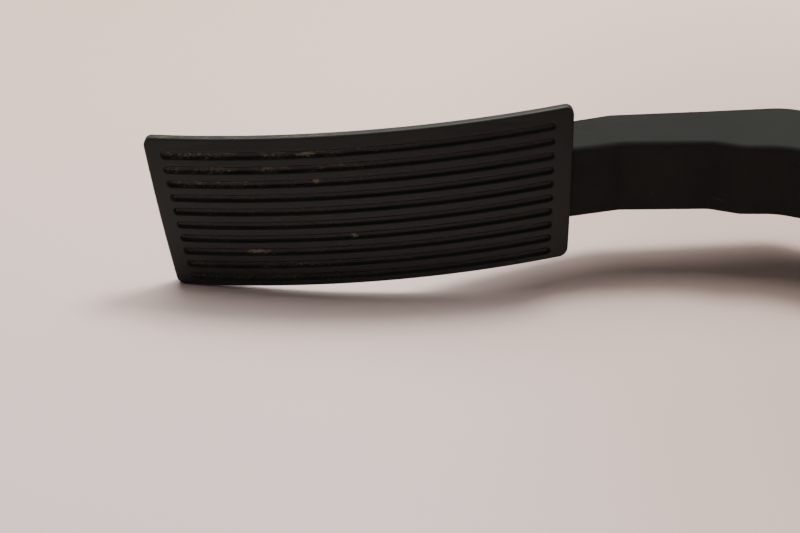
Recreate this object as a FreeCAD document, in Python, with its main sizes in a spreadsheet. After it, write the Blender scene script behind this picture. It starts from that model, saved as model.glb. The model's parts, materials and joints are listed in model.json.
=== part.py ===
import FreeCAD, Part
import math
import os
import re
import Sketcher

# Electronic accelerator pedal of the hanging kind: a ribbed foot pad on a moulded swing arm, and the
# housing that carries its pivot, return springs and angle sensor. Millimetres.
#
# The module lies on its side. +Z is the side that faces up, the pivot runs along Z, and the floor is
# at z = -floor_drop. The bulkhead face is the plane y = 0, with the origin at its centre, and the
# housing hangs from it towards -Y. The arm leaves the housing towards -X, and then turns by arm_turn
# towards -Y. Pressing the pad turns the pedal clockwise about +Z and moves the pad towards +Y.
#
# Three frames are used. The row frame is the housing's. The arm frame has its origin at the elbow, the
# arm's stretch below the elbow along its -X, and its +Y towards the arm's open back. The pad frame has
# its origin at the crest of the pad, X along the pad, Y into it and Z across it.

doc = FreeCAD.newDocument("AcceleratorPedal")
sheet = doc.addObject("Spreadsheet::Sheet", "Sizes")

SIZES = {
    # pad
    "pad_length": 118.4, "pad_width": 45.3, "pad_thick": 3, "pad_bow_r": 186.6, "pad_crown_r": 163.5,
    "pad_tilt": 4.5, "pad_tip_rake": 6.3, "pad_root_rake": 5.1, "pad_corner_r": 2.6,
    "pad_edge_r": 0.6, "pad_along": 126, "pad_forward": 31, "pad_drop": 3.5,
    "groove_count": 10, "groove_pitch": 4.16, "groove_wide": 2.3, "groove_floor": 1.1,
    "groove_deep": 1.2, "groove_tip_border": 4.5, "groove_root_border": 5.2, "groove_shift": 1.02,
    "stud_r": 2, "stud_along": 44, "stud_across": 15.4, "stud_hole_gap": 0.3,
    "clip_r": 4.2, "clip_thick": 0.6, "clip_seat_r": 4.7,
    # end plate and arm
    "seat_gap": 0.1, "plate_thick": 2.4, "plate_inset": 1.6,
    "arm_turn": 32, "arm_width": 21.8, "arm_side_wall": 2.4, "arm_front_wall": 3, "arm_edge_r": 2,
    "upper_length": 67, "upper_offset": 0.6, "upper_lean": 1.6,
    "elbow_front": 16.3, "elbow_back_along": 1.2, "elbow_back": 18.9,
    "joggle_high_along": 17.4, "joggle_low_along": 25.9, "joggle_low": 12.3,
    "neck_along": 51.9, "neck_front": 13, "root_front_along": 65.9, "root_front": 18,
    "neck_back": 11.7, "root_back_along": 63.5, "root_back": 7.1, "back_mid_along": 23.9, "back_mid": 15.4,
    "spine_mid_along": 95.9, "spine_mid": 24.3, "spine_tip_along": 113.9, "spine_tip": 26.4,
    "spine_tip_deep": 3.4, "elbow_r": 14, "crease_r": 4,
    "rib_thick": 1.8, "rib_pitch": 17, "rib_count": 9, "rib_count_upper": 4, "rib_recess": 2,
    # hub and lever
    "pivot_drop_x": 22, "pivot_drop_y": 42, "hub_r": 16, "hub_half": 12,
    "lever_r": 24, "lever_lean": 8, "lever_nose_r": 5, "lever_thick": 10, "lever_web": 6.8,
    # pivot
    "shaft_r": 5, "shaft_low": 21.5, "shaft_top": 24, "running_gap": 0.04,
    "bush_wall": 2, "bush_flange_r": 9, "bush_flange": 1, "bush_long": 5.7, "hub_end_gap": 0.3,
    "clip_ring_r": 8, "clip_ring_thick": 1, "clip_ring_low": 18.6, "clip_groove_deep": 0.8,
    # housing
    "floor_drop": 30, "cover_thick": 4, "gasket_thick": 1, "shell_half": 45, "shell_front": 63.5,
    "shell_top": 33, "deck_low": 13.3, "deck_high": 18, "deck_rib_count": 3, "shell_wall": 3,
    "waist_x": 2, "waist_y": 36,
    "hub_cavity_r": 17.6, "slot_top": 12.4, "slot_back": 17.2, "lever_bay_left": 33,
    "lever_bay_right": 8, "lever_bay_back": 10.5, "lever_bay_top": 8,
    "spring_axis": 18, "spring_bore_r": 12.3, "bore_left": 10, "cap_thick": 3,
    "chamber_left": 41, "chamber_right": 38, "chamber_front": 56, "chamber_back": 10,
    "flange_thick": 7, "ear_r": 9.5, "ear_x": 56, "ear_low": 20, "ear_top_x": 5, "ear_top": 44,
    "sleeve_r": 5.5, "sleeve_hole_r": 3.3, "sleeve_proud": 0.5,
    "core_count": 4, "core_pitch": 21, "core_wide": 16, "core_deep": 2.2,
    "dowel_r": 4, "dowel_long": 5, "dowel_x": 30, "dowel_z": 8,
    # friction plunger and springs
    "plunger_r": 11.95, "plunger_left": 7, "plunger_long": 16, "stem_r": 5.5, "lever_gap": 0.05,
    "plunger_wall": 2.2, "shoe_wide": 3, "shoe_long": 10, "shoe_gap": 0.28,
    "outer_coil_r": 8.4, "outer_wire_r": 1, "inner_coil_r": 5.2, "inner_wire_r": 0.75,
    "outer_turns": 6, "inner_turns": 7, "spring_left": -1, "spring_right": 38,
    # stops. fit_gap is the gap round a piece that sits in a seat of its own shape
    "fit_gap": 0.02,
    "bumper_wide": 9, "bumper_high": 16, "idle_bumper_x": 40,
    "stop_thick": 8, "stop_gap": 0.15, "stop_near": 19.5, "stop_far": 27, "full_travel": 16,
    # angle sensor
    "carrier_r": 8, "carrier_low": 20, "carrier_top": 26.5, "magnet_r": 6, "magnet_thick": 2.2,
    "board_low": 28.5, "board_thick": 1.6, "board_left": 38, "board_right": 20,
    "board_front": 52, "board_back": 14, "screw_r": 1.25, "screw_head_r": 2.4, "screw_head": 1.6,
    "chip_long": 5, "chip_wide": 4, "chip_thick": 1.1,
    # sensor cover
    "lid_top": 36, "lid_rim": 2, "lid_inset": 1.5, "lid_seal": 0.6,
    # connector
    "socket_front": 50, "socket_back": 24, "socket_low": 18.5, "socket_high": 33, "socket_out": 18,
    "socket_wall": 2, "pin_count": 6, "pin_pitch": 3, "pin_wide": 1.2, "pin_thick": 0.8,
    "pin_z": 25, "pin_left": 14, "pin_out": 13,
}


def value(name):
    """A size, read back from the sheet."""
    return float(sheet.get(name))


def fill_sheet():
    for row, (name, number) in enumerate(SIZES.items(), 1):
        sheet.set(f"A{row}", name)
        sheet.set(f"B{row}", str(number))
        sheet.setAlias(f"B{row}", name)
    doc.recompute()


def formula(text):
    """An expression on the sheet: every name with an underscore is one of its sizes."""
    return re.sub(r"[a-z]+(?:_[a-z]+)+", lambda name: "Sizes." + name.group(0), str(text))


def bind(obj, **formulas):
    """Ties properties to expressions. Two underscores stand for a dot, as in Placement__Base__x."""
    for name, text in formulas.items():
        obj.setExpression(name.replace("__", "."), formula(text))
    return obj


def number(text):
    """What an expression comes to."""
    return float(sheet.evalExpression(formula(text)))


def place(obj, x="0", y="0", z="0"):
    return bind(obj, Placement__Base__x=x, Placement__Base__y=y, Placement__Base__z=z)


# ---------------------------------------------------------------- primitives and booleans

AXIS_TURNS = {
    "X": FreeCAD.Rotation(FreeCAD.Vector(0, 1, 0), 90),
    "Y": FreeCAD.Rotation(FreeCAD.Vector(1, 0, 0), -90),
    "Z": FreeCAD.Rotation(),
}


def box(name, x, y, z):
    """A box between pairs of low and high expressions."""
    made = doc.addObject("Part::Box", name)
    spans = [f"({high}) - ({low})" for low, high in (x, y, z)]
    bind(made, Length=spans[0], Width=spans[1], Height=spans[2])
    return place(made, x[0], y[0], z[0])


def rod(name, axis, radius, low, high, centre):
    """A cylinder along an axis, from low to high on it. centre is its place on the other two axes."""
    made = doc.addObject("Part::Cylinder", name)
    made.Placement.Rotation = AXIS_TURNS[axis]
    bind(made, Radius=radius, Height=f"({high}) - ({low})")
    where = list(centre)
    where.insert("XYZ".index(axis), low)
    return place(made, *where)


def join(name, *shapes):
    made = doc.addObject("Part::MultiFuse", name)
    made.Shapes = list(shapes)
    made.Refine = True
    return made


def cut(name, base, *tools):
    made = doc.addObject("Part::Cut", name)
    made.Base = base
    made.Tool = tools[0] if len(tools) == 1 else join(name + "_tools", *tools)
    made.Refine = True
    return made


def meet(name, *shapes):
    made = doc.addObject("Part::MultiCommon", name)
    made.Shapes = list(shapes)
    made.Refine = True
    return made


def gather(name, *shapes):
    """Separate solids kept as one sub-part."""
    made = doc.addObject("Part::Compound", name)
    made.Links = list(shapes)
    return made


def tube(name, axis, outer, inner, low, high, centre):
    return cut(
        name, rod(name + "_outside", axis, outer, low, high, centre),
        rod(name + "_inside", axis, inner, f"({low}) - 1", f"({high}) + 1", centre),
    )


# ---------------------------------------------------------------- sketched features

def origin_plane(body, role):
    return next(plane for plane in body.Origin.OriginFeatures if plane.Role == role)


def sketch_in(body, name, plane, **offsets):
    sketch = body.newObject("Sketcher::SketchObject", name)
    sketch.AttachmentSupport = [(origin_plane(body, plane), "")]
    sketch.MapMode = "FlatFace"
    for axis, text in offsets.items():
        bind(sketch, **{"AttachmentOffset__Base__" + axis: text})
    return sketch


def draw(sketch, points):
    """A closed outline of straight lines through points, each a pair of expressions."""
    start = sketch.GeometryCount
    spots = [FreeCAD.Vector(number(x), number(y), 0) for x, y in points]
    count = len(points)
    for i in range(count):
        sketch.addGeometry(Part.LineSegment(spots[i], spots[(i + 1) % count]))
    for i in range(count):
        sketch.addConstraint(
            Sketcher.Constraint("Coincident", start + i, 2, start + (i + 1) % count, 1)
        )
    for i, point in enumerate(points):
        for kind, text, spot in zip(("DistanceX", "DistanceY"), point, spots[i]):
            index = sketch.addConstraint(Sketcher.Constraint(kind, start + i, 1, spot))
            sketch.setExpression(f"Constraints[{index}]", formula(text))


def slab(name, plane, points, low, high, round_r=None, rounded=()):
    """A prism: an outline on an origin plane, from low to high along that plane's normal. The corners
    whose numbers are in rounded get the radius round_r."""
    body = doc.addObject("PartDesign::Body", name)
    sketch = sketch_in(body, name + "_outline", plane, z=low)
    draw(sketch, points)
    pad = body.newObject("PartDesign::Pad", name + "_pad")
    pad.Profile = sketch
    bind(pad, Length=f"({high}) - ({low})")
    doc.recompute()
    if rounded:
        spots = [sketch.Placement.multVec(FreeCAD.Vector(number(points[i][0]), number(points[i][1]), 0))
                 for i in rounded]
        normal = sketch.Placement.Rotation.multVec(FreeCAD.Vector(0, 0, 1))
        round_edges(body, name + "_round", round_r,
                    lambda edge: runs_along(edge, normal)
                    and any(on_edge(edge, spot) for spot in spots))
    return body


def runs_along(edge, direction):
    if edge.Curve.TypeId != "Part::GeomLine":
        return False
    return abs(abs(edge.Curve.Direction.dot(direction)) - 1) < 1e-6


def on_edge(edge, spot):
    return edge.distToShape(Part.Vertex(spot))[0] < 1e-4


def round_edges(body, name, radius, wanted, kind="PartDesign::Fillet", size="Radius"):
    """A fillet or chamfer on the edges of the body's tip that wanted() picks."""
    tip = body.Tip
    names = [f"Edge{i}" for i, edge in enumerate(tip.Shape.Edges, 1) if wanted(edge)]
    if not names:
        raise ValueError(f"{name}: no edge to round")
    made = body.newObject(kind, name)
    made.Base = (tip, names)
    bind(made, **{size: radius})
    doc.recompute()
    return made


def band(name, outer, inner, half):
    """A plate bent two ways, in the pad frame: an arc across the pad, swept about the bow's axis.
    outer and inner are the crown radii of its two faces, and half is half its width."""
    body = doc.addObject("PartDesign::Body", name)
    sketch = sketch_in(body, name + "_section", "YZ_Plane", x="pad_bow_r")
    middle = FreeCAD.Vector(number("pad_crown_r - pad_bow_r"), 0, 0)
    ends = []
    for text in (outer, inner):
        lean = math.asin(number(half) / number(text))
        circle = Part.Circle(middle, FreeCAD.Vector(0, 0, 1), number(text))
        arc = Part.ArcOfCircle(circle, math.pi - lean, math.pi + lean)
        index = sketch.addGeometry(arc)
        sketch.addConstraint(Sketcher.Constraint("PointOnObject", index, 3, -1))
        at = sketch.addConstraint(Sketcher.Constraint("DistanceX", index, 3, middle.x))
        sketch.setExpression(f"Constraints[{at}]", formula("pad_crown_r - pad_bow_r"))
        size = sketch.addConstraint(Sketcher.Constraint("Radius", index, number(text)))
        sketch.setExpression(f"Constraints[{size}]", formula(text))
        ends.append((index, arc.StartPoint, arc.EndPoint))
    for side, sign in ((1, 1), (2, -1)):
        line = sketch.addGeometry(Part.LineSegment(ends[0][side], ends[1][side]))
        sketch.addConstraint(Sketcher.Constraint("Coincident", line, 1, ends[0][0], side))
        sketch.addConstraint(Sketcher.Constraint("Coincident", line, 2, ends[1][0], side))
        for end in (1, 2):
            at = sketch.addConstraint(Sketcher.Constraint("DistanceY", line, end, sign * number(half)))
            sketch.setExpression(f"Constraints[{at}]", formula(f"{sign} * ({half})"))
    return turn_section(body, sketch, name)


def turn_section(body, sketch, name):
    """Sweeps a section about the bow's axis, far enough to pass both ends of the pad."""
    turn = body.newObject("PartDesign::Revolution", name + "_turn")
    turn.Profile = sketch
    turn.ReferenceAxis = (sketch, ["V_Axis"])
    turn.Midplane = True
    bind(turn, Angle="2 * asin((pad_length / 2 + pad_width / 2) / pad_bow_r)")
    doc.recompute()
    return body


# ---------------------------------------------------------------- placing what moves

PIVOT_X, PIVOT_Y = "-pivot_drop_x", "-pivot_drop_y"
ELBOW_X = "(-pivot_drop_x - upper_length)"
ELBOW_Y = "(-pivot_drop_y - upper_offset)"
# the pivot as the arm frame sees it
HUB_X = "(upper_length * cos(arm_turn) + upper_offset * sin(arm_turn))"
HUB_Y = "(upper_offset * cos(arm_turn) - upper_length * sin(arm_turn))"
# where the upper arm's front line, which leans by upper_lean, meets the lower arm's front
LINE_TURN = "(arm_turn - upper_lean)"
ELBOW_FRONT_X = (f"({HUB_X} + ((elbow_front + {HUB_Y}) * cos({LINE_TURN}) - hub_r) / sin({LINE_TURN}))")


def in_pad_frame(obj):
    """Puts an object made in the pad frame into the arm frame."""
    place(obj, "-pad_along", "-pad_forward", "-pad_drop")
    return bind(obj, Placement__Rotation__Pitch="-pad_tilt")


def pad_to_row(obj):
    """Puts an object made in the pad frame into the row frame."""
    place(obj, f"{ELBOW_X} - pad_along * cos(arm_turn) + pad_forward * sin(arm_turn)",
          f"{ELBOW_Y} - pad_along * sin(arm_turn) - pad_forward * cos(arm_turn)", "-pad_drop")
    return bind(obj, Placement__Rotation__Yaw="arm_turn", Placement__Rotation__Pitch="-pad_tilt")


def in_arm_frame(obj):
    """Puts an object made in the arm frame into the row frame."""
    place(obj, ELBOW_X, ELBOW_Y, "0")
    return bind(obj, Placement__Rotation__Yaw="arm_turn")


# ---------------------------------------------------------------- pad

def pad_outline(inset):
    """The pad's four corners, in from its edge by inset. Both ends are raked."""
    corners = []
    for end, rake in ((-1, "pad_tip_rake"), (1, "pad_root_rake")):
        for side in (-1, 1):
            across = f"{side} * (pad_width / 2 - ({inset}))"
            along = f"{end} * (pad_length / 2 - ({inset}) / cos({rake})) + {end} * ({across}) * tan({rake})"
            corners.append((along, across))
    return [corners[0], corners[2], corners[3], corners[1]]


def pad_prism(name, inset, round_r):
    """The pad's outline as a prism through the pad. XZ sketches point along -Y."""
    return slab(name, "XZ_Plane", pad_outline(inset), "-40", "10", round_r, range(4))


def groove_middle(i):
    """How far across the pad a groove's centre line lies."""
    return f"(({i} - (groove_count - 1) / 2) * groove_pitch - groove_shift)"


def groove_rows():
    return range(int(value("groove_count")))


def groove_slots():
    """The grooves seen from the front: slots with round ends, in line with the pad's raked ends."""
    slots = []
    for i in groove_rows():
        middle = groove_middle(i)
        ends = []
        for end, name in ((-1, "tip"), (1, "root")):
            ends.append(f"{end} * (pad_length / 2 - groove_{name}_border / cos(pad_{name}_rake)"
                        f" + {middle} * tan(pad_{name}_rake))")
        low, high = f"{middle} - groove_wide / 2", f"{middle} + groove_wide / 2"
        outline = [(ends[0], low), (ends[1], low), (ends[1], high), (ends[0], high)]
        slots.append(slab(f"groove_slot_{i}", "XZ_Plane", outline, "-40", "10",
                          "groove_wide / 2 - 0.02", range(4)))
    return join("groove_slots", *slots)


def groove_rings():
    """The grooves as whole rings about the bow's axis, before their ends are cut."""
    body = doc.addObject("PartDesign::Body", "groove_rings")
    sketch = sketch_in(body, "groove_sections", "YZ_Plane", x="pad_bow_r")
    crown = "(pad_crown_r - pad_bow_r)"
    # the sides lean, so past the face a groove is as much wider as it narrows below it
    mouth = "(groove_wide + (groove_wide - groove_floor) / groove_deep)"
    for i in groove_rows():
        middle = groove_middle(i)
        points = []
        for side, wide, radius in ((-1, mouth, "pad_crown_r + 1"), (1, mouth, "pad_crown_r + 1"),
                                   (1, "groove_floor", "pad_crown_r - groove_deep"),
                                   (-1, "groove_floor", "pad_crown_r - groove_deep")):
            points.append((f"{crown} - sqrt(({radius})^2 - {middle}^2)", f"{middle} + {side} * {wide} / 2"))
        draw(sketch, points)
    return turn_section(body, sketch, "groove_rings")


def stud_spots():
    """The pad's four studs, each as its place along and across the pad."""
    return [(f"{end} * stud_along + 2", f"{side} * stud_across") for end in (-1, 1) for side in (-1, 1)]


def stud_depth(along, across):
    """How far the pad's face lies behind its crest at a stud."""
    bow = f"(pad_bow_r - sqrt(pad_bow_r^2 - ({along})^2))"
    crown = f"(pad_crown_r - sqrt(pad_crown_r^2 - ({across})^2))"
    return f"({bow} + {crown})"


def pedal_pad():
    """The ribbed cover: a thin plate bent two ways, with lengthwise grooves and four studs behind."""
    plate = meet("pad_plate", band("pad_band", "pad_crown_r", "pad_crown_r - pad_thick", "pad_width"),
                 pad_prism("pad_edge", "0", "pad_corner_r"))
    doc.recompute()
    body = doc.addObject("PartDesign::Body", "pad_softened")
    body.BaseFeature = plate
    doc.recompute()
    rim = [e for e in plate.Shape.Edges if e.CenterOfMass.y < plate_depth(e, "pad_thick / 2")]
    round_edges(body, "pad_rim", "pad_edge_r",
                lambda edge: any(edge.CenterOfMass.distanceToPoint(r.CenterOfMass) < 1e-5 for r in rim))
    grooves = meet("grooves", groove_rings(), groove_slots())
    face = cut("pad_face", body, grooves)
    studs = []
    for i, (along, across) in enumerate(stud_spots()):
        depth = stud_depth(along, across)
        studs.append(rod(f"stud_{i}", "Y", "stud_r", f"{depth} + 2",
                         f"{seat_depth(along, across)} + clip_thick + 1.6", (along, across)))
    return join("pad_with_studs", face, *studs)


def plate_depth(edge, below):
    """The y of the surface that lies a given depth under the pad's face, at an edge's middle."""
    spot = edge.CenterOfMass
    bow, crown = value("pad_bow_r"), value("pad_crown_r")
    ring = bow - crown + math.sqrt((crown - number(below)) ** 2 - spot.z ** 2)
    return bow - math.sqrt(ring ** 2 - spot.x ** 2)


def seat_depth(along, across):
    """How far behind the pad's crest the flat seat of a stud's push nut lies."""
    return f"({stud_depth(along, across)} + pad_thick + seat_gap + plate_thick)"


def pad_clips():
    """Spring-steel push nuts, one on each stud, behind the arm's end plate."""
    nuts = []
    for i, (along, across) in enumerate(stud_spots()):
        low = f"{seat_depth(along, across)} + 0.05"
        nuts.append(tube(f"push_nut_{i}", "Y", "clip_r", "stud_r + fit_gap", low, f"{low} + clip_thick",
                         (along, across)))
    return gather("push_nuts", *nuts)


# ---------------------------------------------------------------- arm

def arm_profile():
    """The arm seen from its side, in the arm frame: front from the hub to the spine's tip, then back."""
    front = [
        (f"{HUB_X} - hub_r * sin({LINE_TURN})", f"{HUB_Y} - hub_r * cos({LINE_TURN})"),
        (ELBOW_FRONT_X, "-elbow_front"),
        ("-joggle_high_along", "-elbow_front"),
        ("-joggle_low_along", "-joggle_low"),
        ("-neck_along", "-neck_front"),
        ("-root_front_along", "-root_front"),
        ("-spine_mid_along", "-spine_mid"),
        ("-spine_tip_along", "-spine_tip"),
    ]
    back = [
        ("-spine_tip_along", "-spine_tip + spine_tip_deep"),
        ("-root_back_along", "root_back"),
        ("-neck_along - 1.6", "neck_back"),
        ("-back_mid_along", "back_mid"),
        ("elbow_back_along", "elbow_back"),
        (f"{HUB_X} + hub_r * sin(arm_turn)", f"{HUB_Y} + hub_r * cos(arm_turn)"),
    ]
    return front + back


def beside_hub(back, out):
    """A point of the upper arm, back from the pivot along it and out from its centre line to the front."""
    return (f"{HUB_X} - ({back}) * cos({LINE_TURN}) - ({out}) * sin({LINE_TURN})",
            f"{HUB_Y} + ({back}) * sin({LINE_TURN}) - ({out}) * cos({LINE_TURN})")


def inner_elbow(wall):
    """The elbow's front corner, in from both front faces by a wall."""
    run = f"((elbow_front - {wall} + {HUB_Y}) * cos({LINE_TURN}) - hub_r + {wall}) / sin({LINE_TURN})"
    return f"{HUB_X} + {run}", f"-elbow_front + {wall}"


def channel_profile():
    """The hollow behind the arm's front wall, open at the back, in the arm frame."""
    wall = "arm_front_wall"
    return [
        beside_hub("hub_r + 3", f"hub_r - {wall}"),
        inner_elbow(wall),
        ("-joggle_high_along + 1", f"-elbow_front + {wall}"),
        ("-joggle_low_along + 1", f"-joggle_low + {wall}"),
        ("-neck_along", f"-neck_front + {wall}"),
        ("-root_front_along", f"-root_front + {wall} + 1.4"),
        ("-spine_mid_along", f"-spine_mid + {wall} + 3.4"),
        ("-spine_mid_along - 6", f"-spine_mid + {wall} + 3.2"),
        ("-spine_mid_along - 6", "elbow_back + 20"),
        ("elbow_back_along + 10", "elbow_back + 20"),
        beside_hub("hub_r + 3", "-hub_r - 14"),
    ]


def arm_ribs():
    """Slanted ribs that cross the channel, turn about turn. Each is a plate tipped about Y."""
    ribs = []
    for i in range(int(value("rib_count_upper") + value("rib_count"))):
        lean = f"({-1 if i % 2 else 1} * atan(arm_width / rib_pitch))"
        middle = f"(elbow_back_along + 4 - ({i} - rib_count_upper + 0.5) * rib_pitch)"
        rib = doc.addObject("Part::Box", f"rib_{i}")
        bind(rib, Length="2 * arm_width", Width="100", Height="rib_thick", Placement__Rotation__Pitch=lean)
        place(rib, f"{middle} - arm_width * cos({lean}) - rib_thick / 2 * sin({lean})", "-50",
              f"arm_width * sin({lean}) - rib_thick / 2 * cos({lean})")
        ribs.append(rib)
    return ribs


def pedal_arm():
    """The swing arm: a channel open at the back, ribbed inside, with the hub, the lever that works the
    plunger, and the curved end plate that the pad sits on."""
    half = "arm_width / 2"
    beam = slab("arm_beam", "XY_Plane", arm_profile(), f"-{half}", half, "crease_r", (2, 3, 4, 5, 10, 11))
    elbow = [FreeCAD.Vector(number(x), number(y), 0) for x, y in (arm_profile()[1], arm_profile()[12])]
    round_edges(beam, "arm_elbow", "elbow_r",
                lambda edge: runs_along(edge, FreeCAD.Vector(0, 0, 1))
                and any(on_edge(edge, spot) for spot in elbow))
    round_edges(beam, "arm_edges", "arm_edge_r",
                lambda edge: abs(abs(edge.CenterOfMass.z) - number(half)) < 1e-6)
    inner = "arm_width / 2 - arm_side_wall"
    channel = slab("channel", "XY_Plane", channel_profile(), f"-({inner})", inner, "3", (0, 1, 2, 3, 4))
    room = meet("rib_room", join("ribs", *arm_ribs()),
                slab("rib_span", "XY_Plane", rib_span(), f"-({inner}) - 0.5", f"{inner} + 0.5"))
    ribbed = join("arm_ribbed", cut("arm_channel", beam, channel), meet("arm_ribs", room, beam))
    plate = in_pad_frame(end_plate())
    hub = rod("hub", "Z", "hub_r", "-hub_half", "hub_half", (HUB_X, HUB_Y))
    lever = join("lever", *lever_pieces())
    whole = join("arm_whole", ribbed, plate, hub, lever)
    bore = rod("hub_bore", "Z", "shaft_r", "-hub_half - 5", "hub_half + 5", (HUB_X, HUB_Y))
    return cut("arm_bored", whole, bore)


def rib_span():
    """Where the ribs may reach: from the front wall to a little short of the open back."""
    return [
        beside_hub("hub_r - 4", "hub_r - 1"),
        inner_elbow("1"),
        ("-joggle_high_along", "-elbow_front + 1"),
        ("-joggle_low_along", "-joggle_low + 1"),
        ("-neck_along", "-neck_front + 1"),
        ("-root_front_along", "-root_front + 1"),
        ("-spine_mid_along - 8", "-spine_mid + 4"),
        ("-spine_mid_along - 8", "-spine_mid + 6"),
        ("-root_back_along", "root_back - rib_recess"),
        ("-neck_along", "neck_back - rib_recess"),
        ("-back_mid_along", "back_mid - rib_recess"),
        ("elbow_back_along", "elbow_back - rib_recess"),
        beside_hub("hub_r - 4", "-hub_r + rib_recess"),
    ]


def lever_pieces():
    """The lever points from the hub at the plunger, leaning back by lever_lean at rest."""
    reach = "(arm_turn - lever_lean)"
    nose_x = f"{HUB_X} + lever_r * sin({reach})"
    nose_y = f"{HUB_Y} + lever_r * cos({reach})"
    low, high = "-lever_thick / 2", "lever_thick / 2"
    nose = rod("lever_nose", "Z", "lever_nose_r", low, high, (nose_x, nose_y))
    web = doc.addObject("Part::Box", "lever_web")
    bind(web, Length="lever_web", Width="lever_r", Height="lever_thick",
         Placement__Rotation__Yaw=f"-{reach}")
    place(web, f"{HUB_X} - lever_web / 2 * cos({reach})", f"{HUB_Y} + lever_web / 2 * sin({reach})", low)
    return nose, web


def end_plate():
    """The plate behind the pad, bent as the pad is and a little smaller, with holes for the studs."""
    face = "pad_crown_r - pad_thick - seat_gap"
    plate = meet("plate", band("plate_band", face, f"{face} - plate_thick", "pad_width"),
                 pad_prism("plate_edge", "plate_inset", "pad_corner_r"))
    tools = []
    for i, spot in enumerate(stud_spots()):
        seat = seat_depth(*spot)
        tools.append(rod(f"stud_hole_{i}", "Y", "stud_r + stud_hole_gap", "-10", "40", spot))
        tools.append(rod(f"nut_seat_{i}", "Y", "clip_seat_r", seat, f"{seat} + 8", spot))
    return cut("end_plate", plate, *tools)


# ---------------------------------------------------------------- pivot

def pivot_shaft():
    """Ground steel shaft, pressed in the hub, with a groove for its retaining ring."""
    bar = rod("shaft_bar", "Z", "shaft_r", "-shaft_low", "shaft_top", (PIVOT_X, PIVOT_Y))
    groove = tube("ring_groove", "Z", "shaft_r + 1", "shaft_r - clip_groove_deep", "clip_ring_low",
                  "clip_ring_low + clip_ring_thick", (PIVOT_X, PIVOT_Y))
    return cut("shaft_grooved", bar, groove)


def shaft_clip():
    """Retaining ring in the shaft's groove, open on one side."""
    ring = tube("ring", "Z", "clip_ring_r", "shaft_r - clip_groove_deep + 0.05", "clip_ring_low + 0.05",
                "clip_ring_low + clip_ring_thick - 0.05", (PIVOT_X, PIVOT_Y))
    mouth = box("ring_mouth", (f"{PIVOT_X} - 2", f"{PIVOT_X} + 2"), (f"{PIVOT_Y}", f"{PIVOT_Y} + 12"),
                ("clip_ring_low - 1", "clip_ring_low + 3"))
    return cut("ring_open", ring, mouth)


def bush(name, side):
    """Flanged plain bearing. The flange faces the hub's end."""
    flange = "hub_half + hub_end_gap"
    spans = [(flange, f"{flange} + bush_flange"), (f"{flange} + 0.5", f"{flange} + bush_long")]
    radii = ["bush_flange_r", "shaft_r + running_gap + bush_wall"]
    parts = []
    for i, ((low, high), radius) in enumerate(zip(spans, radii)):
        ends = (low, high) if side > 0 else (f"-({high})", f"-({low})")
        parts.append(rod(f"{name}_{i}", "Z", radius, *ends, (PIVOT_X, PIVOT_Y)))
    hole = rod(name + "_bore", "Z", "shaft_r + running_gap", "-40", "40", (PIVOT_X, PIVOT_Y))
    return cut(name + "_bored", join(name + "_blank", *parts), hole)


# ---------------------------------------------------------------- housing

def lower_outline(grow="0"):
    """The housing below the deck: full width at the hub, drawn in where it only holds the springs."""
    return [
        (f"-shell_half - ({grow})", f"-shell_front - ({grow})"),
        (f"waist_x + ({grow})", f"-shell_front - ({grow})"),
        (f"waist_x + 8 + ({grow})", f"-waist_y - ({grow})"),
        (f"shell_half + ({grow})", f"-waist_y - ({grow})"),
        (f"shell_half + ({grow})", "0"),
        (f"-shell_half - ({grow})", "0"),
    ]


def upper_outline(inset="0"):
    """The sensor chamber's outline."""
    return [
        (f"-shell_half + ({inset})", f"-shell_front + ({inset})"),
        (f"shell_half - 12 - ({inset})", f"-shell_front + ({inset})"),
        (f"shell_half - ({inset})", f"-shell_front + 10 + ({inset})"),
        (f"shell_half - ({inset})", f"-3 - ({inset})"),
        (f"-shell_half + ({inset})", f"-3 - ({inset})"),
    ]


def ears():
    """The bulkhead flange's three ears, each as the centre of its bolt."""
    return [("-ear_x", "-ear_low"), ("ear_x", "-ear_low"), ("ear_top_x", "ear_top")]


def flange():
    """The bulkhead flange: a plate with three rounded ears and the locating dowel."""
    plate = box("flange_plate", ("-shell_half", "shell_half"), ("-flange_thick", "0"),
                ("-floor_drop + cover_thick + gasket_thick", "shell_top"))
    pieces = [plate]
    for i, (x, z) in enumerate(ears()):
        pieces.append(rod(f"ear_{i}", "Y", "ear_r", "-flange_thick", "0", (x, z)))
    webs = [(("-ear_x", "-shell_half + 1"), ("-ear_low - 5", "-ear_low + ear_r")),
            (("shell_half - 1", "ear_x"), ("-ear_low - 5", "-ear_low + ear_r")),
            (("ear_top_x - ear_r", "ear_top_x + ear_r"), ("shell_top - 1", "ear_top"))]
    for i, (x, z) in enumerate(webs):
        pieces.append(box(f"ear_web_{i}", x, ("-flange_thick", "0"), z))
    pieces.append(rod("dowel", "Y", "dowel_r", "-2", "dowel_long", ("dowel_x", "dowel_z")))
    return pieces


def face_cores():
    """Shallow pockets in the bulkhead face, in two rows, that keep its wall even."""
    cores = []
    for row, z in enumerate((("-floor_drop + 9", "-2"), ("dowel_z + 8", "shell_top - 4"))):
        for i in range(int(value("core_count"))):
            x = f"({i} - (core_count - 1) / 2) * core_pitch"
            cores.append(box(f"face_core_{row}_{i}", (f"{x} - core_wide / 2", f"{x} + core_wide / 2"),
                             ("-core_deep", "1"), z))
    return cores


def slot_outline():
    """The room that the arm swings through, open towards -X."""
    return [
        ("-shell_half - 5", "-shell_front + shell_wall"),
        ("-pivot_drop_x", "-shell_front + shell_wall"),
        ("-pivot_drop_x", "-pivot_drop_y + hub_cavity_r"),
        ("-pivot_drop_x - 10", "-slot_back - 2.5"),
        ("-shell_half - 5", "-slot_back + 1"),
    ]


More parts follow.
